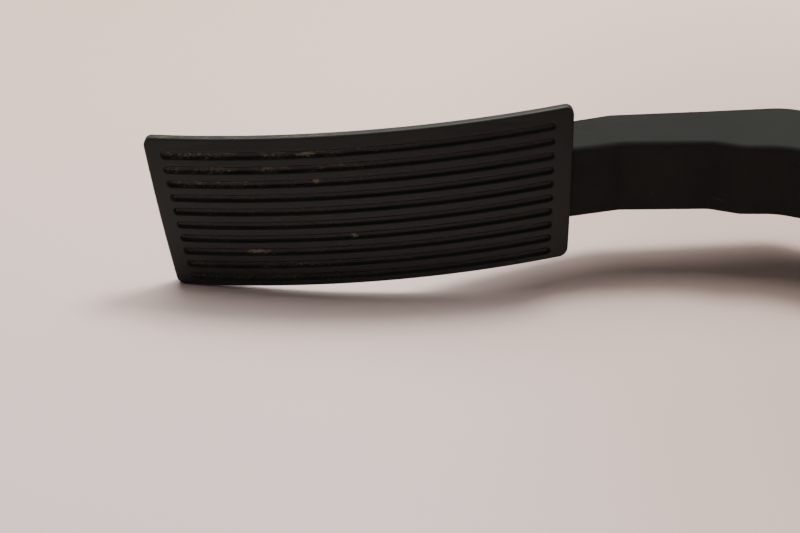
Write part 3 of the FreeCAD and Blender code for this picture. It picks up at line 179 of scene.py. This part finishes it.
class Look:
    """A material with short ways to add and join its nodes."""

    def __init__(self, name):
        self.material = bpy.data.materials.new(name)
        self.material.use_nodes = True
        self.tree = self.material.node_tree
        self.shader = self.tree.nodes["Principled BSDF"]

    def add(self, kind, inputs=None, out=0, **settings):
        """A new node with its inputs and settings, of which one output is given back."""
        made = self.tree.nodes.new(kind)
        for key, setting in settings.items():
            setattr(made, key, setting)
        for key, source in (inputs or {}).items():
            self.put(made.inputs[key], source)
        return made.outputs[out]

    def put(self, socket, source):
        if isinstance(source, bpy.types.NodeSocket):
            self.tree.links.new(source, socket)
        else:
            socket.default_value = source

    def where(self):
        """The place on the object in its own axes, in metres."""
        return self.add("ShaderNodeTexCoord", out="Object")

    def mapped(self, vector, location=(0, 0, 0), rotation=(0, 0, 0), scale=(1, 1, 1), kind="POINT"):
        return self.add("ShaderNodeMapping", {0: vector, 1: location, 2: rotation, 3: scale},
                        vector_type=kind)

    def noise(self, vector, scale, detail=2, rough=0.5):
        """Soft noise, where scale is about how many patches lie along one unit of the vector."""
        return self.add("ShaderNodeTexNoise", {
            "Vector": vector, "Scale": scale, "Detail": detail, "Roughness": rough})

    def cells(self, vector):
        """Random cells of about one unit, each with a colour of its own."""
        return self.add("ShaderNodeTexVoronoi", {"Vector": vector, "Scale": 1}, out="Color")

    def math(self, operation, a, b=0.0):
        return self.add("ShaderNodeMath", {0: a, 1: b}, operation=operation)

    def length(self, vector):
        return self.add("ShaderNodeVectorMath", {0: vector}, out="Value", operation="LENGTH")

    def span(self, source, low, high, to_low=0.0, to_high=1.0):
        """source from low..high to to_low..to_high, eased and held at the ends."""
        return self.add("ShaderNodeMapRange", {
            "Value": source, "From Min": low, "From Max": high, "To Min": to_low, "To Max": to_high},
            interpolation_type="SMOOTHSTEP")

    def mix(self, share, a, b):
        made = self.tree.nodes.new("ShaderNodeMix")
        made.data_type = "RGBA"
        self.put(made.inputs["Factor"], share)
        self.put(made.inputs["A"], a)
        self.put(made.inputs["B"], b)
        return made.outputs["Result"]

    def split(self, vector):
        made = self.tree.nodes.new("ShaderNodeSeparateXYZ")
        self.put(made.inputs[0], vector)
        return made.outputs

    def bump(self, height, distance, strength=1.0, under=None):
        inputs = {"Height": height, "Distance": distance, "Strength": strength}
        if under is not None:
            inputs["Normal"] = under
        return self.add("ShaderNodeBump", inputs)

    def finish(self, color, rough, normal=None, **constants):
        self.put(self.shader.inputs["Base Color"], color)
        self.put(self.shader.inputs["Roughness"], rough)
        if normal is not None:
            self.put(self.shader.inputs["Normal"], normal)
        for key, constant in constants.items():
            self.shader.inputs[key.replace("_", " ")].default_value = constant
        return self.material


def grey(level, green):
    """A grey with a faint green cast, or a pinkish one where green is below 0."""
    return (level, level * (1 + green), level * (1 + green * 0.4), 1)


def shade(color, factor=1.0):
    """A colour made darker or paler, with its alpha."""
    return (*[c * factor for c in color], 1)


# ---------------------------------------------------------------- materials

def pad_frame(look):
    """The place in the pad's frame, in millimetres, whole and split into along, into and across."""
    turned = look.mapped(look.where(), PAD_CREST, (0, PAD_TILT, PAD_TURN), (MM, MM, MM), "TEXTURE")
    return turned, look.split(turned)


def under_face(look, along, into, across):
    """How far the surface lies under the pad's smooth face, in millimetres."""
    bow = look.math("SUBTRACT", PAD_BOW_R ** 2, look.math("MULTIPLY", along, along))
    bow = look.math("SUBTRACT", PAD_BOW_R, look.math("SQRT", bow))
    crown = look.math("DIVIDE", look.math("MULTIPLY", across, across), 2 * PAD_CROWN_R)
    return look.math("SUBTRACT", into, look.math("ADD", bow, crown))


def dust_share(look, along, across):
    """How much dust a groove holds at a place: most in the top grooves, some in the bottom ones,
    fading away from the tip, and the full share in the grooves' tip ends."""
    # the groove's number, counted from the edge nearest the sheet
    row = look.math("DIVIDE", look.math("ADD", across, GROOVE_SHIFT), GROOVE_PITCH)
    row = look.math("FLOOR", look.math("ADD", row, GROOVE_COUNT / 2))
    share = look.math("MAXIMUM", look.span(row, *TOP_ROWS), look.span(row, *BOTTOM_ROWS))
    share = look.math("MULTIPLY", share, look.span(along, *ALONG_PAD))
    tip = look.math("ADD", along, look.math("MULTIPLY", across, TIP_SLOPE))
    return look.math("MAXIMUM", share, look.span(tip, *TIP_DUST))


def loose_grains(look, turned, grit, color):
    """The colour with the ragged loose grains laid over it."""
    for along, across, long_r, wide_r in GRAINS:
        place = look.mapped(turned, (-along / long_r, 0, -across / wide_r),
                            scale=(1 / long_r, 0, 1 / wide_r))
        ragged = look.math("ADD", look.length(place), look.span(grit, 0.35, 0.65, 0, 0.7))
        color = look.mix(look.span(ragged, 0.85, 1.15, 1, 0), color, DUST_GRAIN)
    return color


def moulded(name, level, green, grain, rough, sheen, scuff):
    """Fine-textured moulded plastic: eroded grain, slow sheen changes, sparse fine scuffs, and edges
    that catch the light as rounded ones do."""
    look = Look(name)
    spot = look.where()
    fine = look.noise(spot, 1 / (grain * MM), 3, 0.6)
    slow = look.noise(spot, 45, 3, 0.55)
    color = look.mix(look.span(slow, 0.3, 0.7), grey(level * 0.9, green), grey(level * 1.12, green))
    stretched = look.mapped(spot, rotation=(0.3, 0.8, 0.5), scale=(30, 900, 700))
    scratches = look.span(look.noise(stretched, 1, 2, 0.5), 0.69, 0.78)
    color = look.mix(look.math("MULTIPLY", scratches, scuff), color, grey(level * 2.2, green))
    gloss = look.span(slow, 0.25, 0.75, rough - 0.05, rough + 0.06)
    gloss = look.math("ADD", gloss, look.math("MULTIPLY", fine, 0.06))
    softened = look.add("ShaderNodeBevel", {"Radius": SOFT_EDGE}, samples=4)
    normal = look.bump(fine, 0.06 * MM, 0.5, softened)
    return look.finish(color, gloss, normal, Specular_IOR_Level=sheen)


def ribbed_pad():
    """The pad's plastic: fine grain, pale dust in some grooves, and a few loose grains."""
    look = Look("ribbed_pad_plastic")
    turned, (along, into, across) = pad_frame(look)
    spot = look.where()
    fine = look.noise(spot, 1 / (0.35 * MM), 3, 0.6)
    slow = look.noise(spot, 60, 3, 0.6)
    color = look.mix(look.span(slow, 0.3, 0.7), grey(PAD_DARK, PAD_GREEN), grey(PAD_PALE, PAD_GREEN))
    deep = look.span(under_face(look, along, into, across), 0.15, 0.55)
    patches = look.noise(look.mapped(turned, scale=(0.1, 0.3, 0.3)), 1, 3, 0.6)
    grit = look.noise(look.mapped(turned, scale=(1.1, 1.7, 1.7)), 1, 3, 0.6)
    film = look.math("MULTIPLY", deep, dust_share(look, along, across))
    film = look.math("MULTIPLY", film, look.span(patches, 0.36, 0.6))
    color = look.mix(look.math("MULTIPLY", film, look.span(grit, 0.38, 0.6)), color, DUST_FILM)
    color = look.mix(look.math("MULTIPLY", film, look.span(grit, 0.6, 0.7)), color, DUST_SPECK)
    color = loose_grains(look, turned, grit, color)
    gloss = look.span(slow, 0.25, 0.75, 0.5, 0.6)
    return look.finish(color, gloss, look.bump(fine, 0.07 * MM, 0.55), Specular_IOR_Level=0.28)


def metal(name, color, rough, grain, stretch):
    """Ground or plated metal: a fine grain, squeezed into lay lines where it is ground, and stains."""
    look = Look(name)
    spot = look.where()
    lay = look.noise(look.mapped(spot, scale=stretch), 1 / (grain * MM), 2, 0.5)
    slow = look.noise(spot, 300, 3, 0.6)
    tone = look.mix(look.span(slow, 0.35, 0.7), shade(color, 0.85), shade(color))
    gloss = look.math("ADD", look.math("MULTIPLY", lay, 0.14), rough - 0.05)
    return look.finish(tone, gloss, look.bump(lay, 0.02 * MM, 0.4), Metallic=1.0)


def rubber(name, color):
    """Matt rubber with an uneven skin."""
    look = Look(name)
    spot = look.where()
    fine = look.noise(spot, 2500, 4, 0.65)
    slow = look.noise(spot, 200, 3, 0.6)
    tone = look.mix(look.span(slow, 0.3, 0.7), shade(color, 0.8), shade(color, 1.25))
    return look.finish(tone, look.span(fine, 0.2, 0.8, 0.62, 0.82), look.bump(fine, 0.05 * MM, 0.6))


def board():
    """Solder-masked circuit board, with traces that show as a slightly paler green."""
    look = Look("board")
    spot = look.where()
    lanes = look.cells(look.mapped(spot, scale=(420, 160, 1)))
    trace = look.span(look.split(lanes)[0], 0.5, 0.55)
    fine = look.noise(spot, 3000, 2)
    color = look.mix(trace, BOARD_GREEN, BOARD_TRACE)
    gloss = look.span(fine, 0.3, 0.7, 0.28, 0.36)
    return look.finish(color, gloss, look.bump(trace, 0.03 * MM, 0.5))


def ceramic(name, color):
    """Moulded chip or ceramic body, slightly rough."""
    look = Look(name)
    spot = look.where()
    fine = look.noise(spot, 4000, 3)
    tone = look.mix(look.span(fine, 0.3, 0.7), shade(color, 0.85), shade(color))
    return look.finish(tone, look.span(fine, 0.3, 0.7, 0.4, 0.52), look.bump(fine, 0.02 * MM, 0.4))


def sheet():
    """Pale paper, a little warmer far from the camera, with painted shade round the arm's hub."""
    look = Look("sheet")
    spot = look.where()
    fine = look.noise(spot, 900, 4, 0.6)
    slow = look.noise(spot, 2.2, 3, 0.55)
    turned = look.mapped(spot, VIEW_AIM, (0, 0, VIEW_TURN), kind="TEXTURE")
    away = look.span(look.split(turned)[1], -0.3, 0.6)
    reach = look.length(look.mapped(turned, location=HUB_SHADE_PLACE, scale=HUB_SHADE_STRETCH))
    color = look.mix(away, SHEET_NEAR, SHEET_FAR)
    # painted shade: a soft darker patch round the arm's hub, standing in for the arm's and housing's
    # shade on the sheet
    color = look.mix(look.span(reach, 0.1, 0.42, 1, 0), color, SHEET_HUB_SHADE)
    color = look.mix(look.math("MULTIPLY", look.span(slow, 0.3, 0.7), 0.12), color, SHEET_STAIN)
    return look.finish(color, 0.8, look.bump(fine, 0.1 * MM, 0.3))


LOOKS = {"pad_plastic": ribbed_pad(), "board_green": board()}
LOOKS.update({name: moulded(name, *values) for name, values in PLASTICS.items()})
LOOKS.update({name: metal(name, *values) for name, values in METALS.items()})
LOOKS.update({name: rubber(name, color) for name, color in RUBBERS.items()})
LOOKS.update({name: ceramic(name, color) for name, color in CERAMICS.items()})


def dress_nodes():
    """Gives each CAD node the material of its slot."""
    for part in frame["record"]["subparts"]:
        obj = frame["nodes"][part["node"]]
        look = LOOKS[part["material_slot"]]
        for slot in obj.material_slots:
            slot.material = look


# ---------------------------------------------------------------- pad

def face_depth(along, across, under):
    """How far behind the crest the pad's surface lies, or a layer that far under it."""
    ring = PAD_BOW_R - PAD_CROWN_R + math.sqrt((PAD_CROWN_R - under) ** 2 - across ** 2)
    return PAD_BOW_R - math.sqrt(ring ** 2 - along ** 2)


def tip_line(across, inset):
    """Where the pad's tip end lies, or a line that far inside it."""
    return -(PAD_LENGTH / 2 - inset + across * TIP_SLOPE)


def root_line(across, inset):
    """Where the pad's root end lies, or a line that far inside it."""
    return PAD_LENGTH / 2 - inset + across * ROOT_SLOPE


def groove_middle(i):
    return (i - (GROOVE_COUNT - 1) / 2) * GROOVE_PITCH - GROOVE_SHIFT


def groove_cut(along, across):
    """The depth of the grooves at a place: slots with round ends, leaning sides and soft lips."""
    i = round((across + GROOVE_SHIFT) / GROOVE_PITCH + (GROOVE_COUNT - 1) / 2)
    if not 0 <= i < GROOVE_COUNT:
        return 0.0
    middle, half = groove_middle(i), GROOVE_WIDE / 2
    low = tip_line(middle, GROOVE_TIP_BORDER) + half
    high = root_line(middle, GROOVE_ROOT_BORDER) - half
    reach = math.hypot(along - min(max(along, low), high), across - middle)
    top, foot = half + LIP_R, GROOVE_FLOOR / 2 - LIP_R
    share = min(max((top - reach) / (top - foot), 0), 1)
    return GROOVE_DEEP * share * share * (3 - 2 * share)


def pad_rows():
    """The mesh's lines along the pad, close together over each groove's sides."""
    rows = [-PAD_WIDTH / 2 + LOW_INSET]
    for i in range(GROOVE_COUNT):
        middle = groove_middle(i)
        rows += [middle - step for step in reversed(SIDE_STEPS) if middle - step > rows[0] + LEAST_GAP]
        rows.append(middle)
        rows += [middle + step for step in SIDE_STEPS]
        if i < GROOVE_COUNT - 1:
            rows.append(middle + GROOVE_PITCH / 2)
    rows.append(PAD_WIDTH / 2 - HIGH_INSET)
    return rows


def pad_columns():
    """The mesh's lines across the pad, each as a share of its length and a shift from there."""
    columns = [(0, 0)] + [(0, GROOVE_TIP_BORDER - END_INSET + step) for step in END_STEPS]
    columns += [(LONG_START + (1 - 2 * LONG_START) * k / LONG_STEPS, 0) for k in range(LONG_STEPS + 1)]
    columns += [(1, -(GROOVE_ROOT_BORDER - END_INSET + step)) for step in reversed(END_STEPS)]
    return columns + [(1, 0)]


def pad_outline(grid_loop, corners):
    """The pad's edge as seen from the front: one point and outward direction for each point of the
    grid's border, and CORNER_STEPS + 1 of them for each of its corners."""
    half = PAD_WIDTH / 2
    ends = [(tip_line(-half, 0), -half), (root_line(-half, 0), -half),
            (root_line(half, 0), half), (tip_line(half, 0), half)]
    points = [Vector(end) for end in ends]
    centres, starts, stops = [], [], []
    for k in range(4):
        before = (points[k] - points[k - 1]).normalized()
        after = (points[(k + 1) % 4] - points[k]).normalized()
        out_before, out_after = Vector((before.y, -before.x)), Vector((after.y, -after.x))
        bisector = (out_before + out_after).normalized()
        centres.append(points[k] - bisector * CORNER_R / bisector.dot(out_before))
        starts.append(out_before)
        stops.append(out_after)
    outline = []
    for index, side in grid_loop:
        if index in corners:
            k = corners[index]
            for step in range(CORNER_STEPS + 1):
                out = starts[k].lerp(stops[k], step / CORNER_STEPS).normalized()
                outline.append((index, centres[k] + out * CORNER_R, out))
        else:
            k, share = side
            first = centres[k] + stops[k] * CORNER_R
            last = centres[(k + 1) % 4] + starts[(k + 1) % 4] * CORNER_R
            outline.append((index, first.lerp(last, share), stops[k]))
    return outline


def add_layer(mesh, rows, columns, under):
    """A grid of vertices over the pad: a depth under its face or, where that is None, the face with
    its grooves."""
    layer = []
    for across in rows:
        low, high = tip_line(across, END_INSET), root_line(across, END_INSET)
        line = []
        for share, shift in columns:
            along = low + (high - low) * share + shift
            depth = groove_cut(along, across) if under is None else under
            line.append(mesh.verts.new((along, face_depth(along, across, depth), across)))
        layer.append(line)
    return layer


def border_of(layer):
    """The layer's border, anticlockwise from the front: its vertices, each with its side and share."""
    rows, columns = len(layer), len(layer[0])
    places = [(0, c) for c in range(columns - 1)]
    places += [(r, columns - 1) for r in range(rows - 1)]
    places += [(rows - 1, c) for c in range(columns - 1, 0, -1)]
    places += [(r, 0) for r in range(rows - 1, 0, -1)]
    starts = {0: 0, columns - 1: 1, columns + rows - 2: 2, 2 * columns + rows - 3: 3}
    lengths = (columns - 1, rows - 1, columns - 1, rows - 1)
    loop, k, first = [], 0, 0
    for index in range(len(places)):
        if index in starts:
            k, first = starts[index], index
        loop.append((index, (k, (index - first) / lengths[k])))
    return [layer[r][c] for r, c in places], loop, starts


def close_layer(mesh, layer, front):
    """Faces over a grid, wound for the front or the back."""
    for r in range(len(layer) - 1):
        for c in range(len(layer[0]) - 1):
            quad = (layer[r][c], layer[r][c + 1], layer[r + 1][c + 1], layer[r + 1][c])
            mesh.faces.new(quad if front else tuple(reversed(quad)))


def join_rings(mesh, inner, outer):
    """Faces between two rings. Where a ring repeats a vertex, the face is a triangle."""
    count = len(inner)
    for k in range(count):
        a, b, c, d = inner[k], outer[k], outer[(k + 1) % count], inner[(k + 1) % count]
        corners = [a, b, c] if a == d else [a, b, c, d]
        mesh.faces.new(corners)


def pad_cover():
    """The ribbed pad: a bowed plate with ten soft-lipped grooves, a rolled rim and four studs."""
    mesh = bmesh.new()
    rows, columns = pad_rows(), pad_columns()
    face = add_layer(mesh, rows, columns, None)
    back = add_layer(mesh, rows, columns, PAD_THICK)
    close_layer(mesh, face, True)
    close_layer(mesh, back, False)
    border, loop, corners = border_of(face)
    back_border = border_of(back)[0]
    outline = pad_outline(loop, corners)
    # the rolled rim, each ring as how far in from the outline and how far under the face it lies
    quarter = [math.radians(90 * k / RIM_STEPS) for k in range(RIM_STEPS + 1)]
    rim = [(RIM_R * (1 - math.sin(a)), RIM_R * (1 - math.cos(a))) for a in quarter]
    previous = [border[index] for index, _, _ in outline]
    for inset, under in [(FACE_RING, 0), *rim, *EDGE_RINGS]:
        ring = []
        for _, point, out in outline:
            spot = point - out * inset
            ring.append(mesh.verts.new((spot.x, face_depth(spot.x, spot.y, under), spot.y)))
        join_rings(mesh, previous, ring)
        previous = ring
    back_ring = [back_border[index] for index, _, _ in outline]
    join_rings(mesh, list(reversed(back_ring)), list(reversed(previous)))
    for end in (-1, 1):
        for side in (-1, 1):
            add_stud(mesh, end * STUD_ALONG + STUD_SHIFT, side * STUD_ACROSS)
    bmesh.ops.recalc_face_normals(mesh, faces=mesh.faces)
    turn = Matrix.Translation(PAD_CREST) @ Euler((0, PAD_TILT, PAD_TURN)).to_matrix().to_4x4()
    mesh.transform(turn @ Matrix.Scale(MM, 4))
    data = bpy.data.meshes.new("ribbed_pad")
    mesh.to_mesh(data)
    mesh.free()
    made = new_piece("ribbed_pad", data, "pad_plastic")
    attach(made, "pedal")
    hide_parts("pedal_pad")


def add_stud(mesh, along, across):
    """A round stud behind the pad, with a rounded tip."""
    base = face_depth(along, across, PAD_THICK) - STUD_SINK
    tip = base + STUD_SINK + STUD_LONG
    profile = [(STUD_R, base)] + [(STUD_R - narrower, tip - below) for narrower, below in STUD_TIP]
    angles = [2 * math.pi * k / STUD_SIDES for k in range(STUD_SIDES)]
    rings = []
    for radius, depth in profile:
        places = [(along + radius * math.cos(a), depth, across + radius * math.sin(a)) for a in angles]
        rings.append([mesh.verts.new(place) for place in places])
    for lower, upper in zip(rings, rings[1:]):
        join_rings(mesh, lower, upper)
    mesh.faces.new(rings[-1])
    mesh.faces.new(list(reversed(rings[0])))


def new_piece(name, data, slot):
    """A smooth-shaded object of a mesh, with the slot's material."""
    for polygon in data.polygons:
        polygon.use_smooth = True
    made = bpy.data.objects.new(name, data)
    bpy.context.collection.objects.link(made)
    data.materials.append(LOOKS[slot])
    return made


# ---------------------------------------------------------------- springs

def spring(name, node, coil_r, wire_r, turns, slot):
    """A compression spring of round wire with closed end turns, from the plunger's seat to the cap."""
    low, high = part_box(node)
    start, end = low.x, high.x
    axis_y, axis_z = (low.y + high.y) / 2, (low.z + high.z) / 2
    total = turns + 2 * DEAD_TURNS
    steps = int(total * TURN_STEPS)
    run = end - start - 2 * wire_r
    verts, faces = [], []

    def place(turn):
        """How far along the spring the wire is. Over a closed turn it moves by its own width."""
        if turn < DEAD_TURNS:
            return 2 * wire_r * turn / DEAD_TURNS
        if turn > total - DEAD_TURNS:
            return run - 2 * wire_r * (total - turn) / DEAD_TURNS
        return 2 * wire_r + (run - 4 * wire_r) * (turn - DEAD_TURNS) / turns

    for i in range(steps + 1):
        turn = total * i / steps
        angle = 2 * math.pi * turn
        centre = Vector((start + wire_r + place(turn), axis_y + coil_r * math.cos(angle),
                         axis_z + coil_r * math.sin(angle)))
        out = Vector((0, math.cos(angle), math.sin(angle)))
        for j in range(WIRE_SIDES):
            turn_round = 2 * math.pi * j / WIRE_SIDES
            verts.append(centre + out * wire_r * math.cos(turn_round)
                         + Vector((1, 0, 0)) * wire_r * math.sin(turn_round))
    for i in range(steps):
        for j in range(WIRE_SIDES):
            a, b = i * WIRE_SIDES + j, i * WIRE_SIDES + (j + 1) % WIRE_SIDES
            faces.append((a, b, b + WIRE_SIDES, a + WIRE_SIDES))
    faces.append(tuple(range(WIRE_SIDES)))
    faces.append(tuple(reversed(range(steps * WIRE_SIDES, (steps + 1) * WIRE_SIDES))))
    data = bpy.data.meshes.new(name)
    data.from_pydata(verts, [], faces)
    data.update()
    made = new_piece(name, data, slot)
    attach(made, "housing")
    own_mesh(made)
    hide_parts(node)


# ---------------------------------------------------------------- stage, light, camera

def stage():
    """The sheet that the module lies on."""
    bpy.ops.mesh.primitive_plane_add(size=SHEET_SIZE, location=(0, 0, FLOOR - SHEET_GAP))
    floor = bpy.context.object
    floor.name = "floor"
    floor.data.materials.append(sheet())


def room():
    """A weak even light from all round."""
    world = bpy.data.worlds.new("room")
    world.use_nodes = True
    back = world.node_tree.nodes["Background"]
    back.inputs["Color"].default_value = ROOM_COLOR
    back.inputs["Strength"].default_value = ROOM_LIGHT
    bpy.context.scene.world = world


def area_light(name, location, size, power, color):
    """A round lamp that shines towards LIGHT_AIM."""
    data = bpy.data.lights.new(name, "AREA")
    data.shape = "DISK"
    data.size = size
    data.energy = power
    data.color = color
    lamp = bpy.data.objects.new(name, data)
    lamp.location = location
    lamp.rotation_euler = (LIGHT_AIM - location).to_track_quat("-Z", "Y").to_euler()
    bpy.context.collection.objects.link(lamp)


def key_lights():
    """A lamp panel above, behind and to the right of the object, a much larger soft one over it, and a
    weak one far off on the camera's side."""
    for name, ((behind, beside, above), size, power, color) in LAMPS.items():
        location = LIGHT_AIM + BEHIND * behind + BESIDE * beside + Vector((0, 0, above))
        area_light(name, location, size, power, color)


def camera():
    level = math.cos(VIEW_RISE)
    back = Vector((math.sin(VIEW_TURN) * level, -math.cos(VIEW_TURN) * level, math.sin(VIEW_RISE)))
    data = bpy.data.cameras.new("camera")
    data.lens = LENS
    data.sensor_width = SENSOR
    data.clip_start = NEAR_CLIP
    made = bpy.data.objects.new("camera", data)
    made.location = VIEW_AIM + back * VIEW_DISTANCE
    made.rotation_euler = (-back).to_track_quat("-Z", "Y").to_euler()
    bpy.context.collection.objects.link(made)
    bpy.context.scene.camera = made


dress_nodes()
pad_cover()
spring("outer_spring", "return_spring_outer", 8.4 * MM, 1.0 * MM, 5, "spring_steel")
spring("inner_spring", "return_spring_inner", 5.2 * MM, 0.75 * MM, 6, "spring_steel")
stage()
room()
key_lights()
camera()
